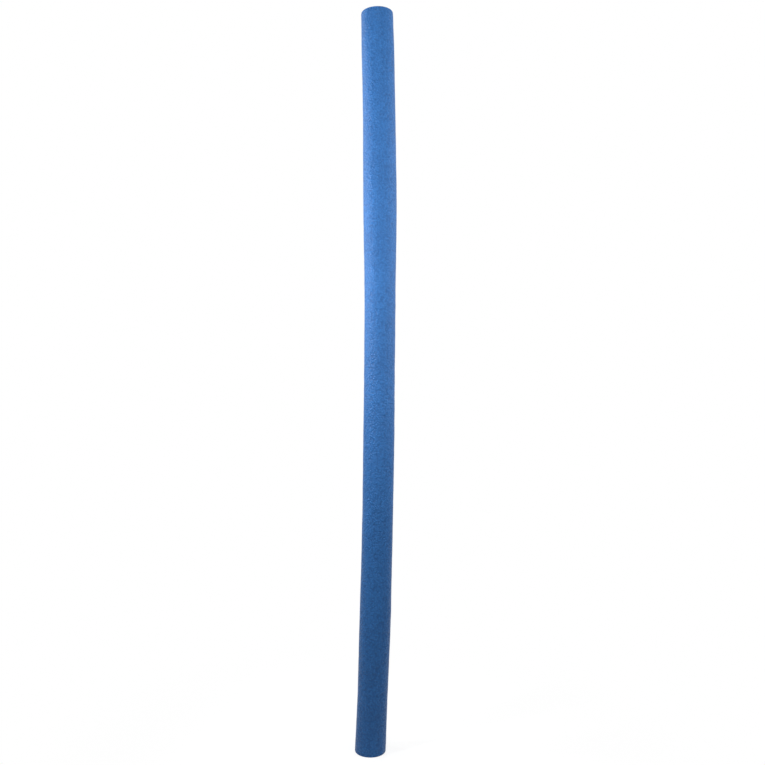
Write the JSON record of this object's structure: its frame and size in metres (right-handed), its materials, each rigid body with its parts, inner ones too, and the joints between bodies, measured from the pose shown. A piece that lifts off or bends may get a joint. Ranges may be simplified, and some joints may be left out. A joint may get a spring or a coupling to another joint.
{
  "type": "pool noodle",
  "caption": "Long round pool noodle of soft closed-cell foam with a hole right through it, gently bowed, both ends cut off plain.",
  "frame": {"origin": "on the surface that the noodle stands on, under the middle of its outline", "axes": "+Z runs along the noodle, from its lower end to its upper end; +X points to the side that it bows towards"},
  "size_m": [0.076, 0.068, 1.5011],
  "materials": {
    "foam": "matte"
  },
  "bodies": {
    "root": {"foam_tube": "foam"}
  },
  "joints": []
}
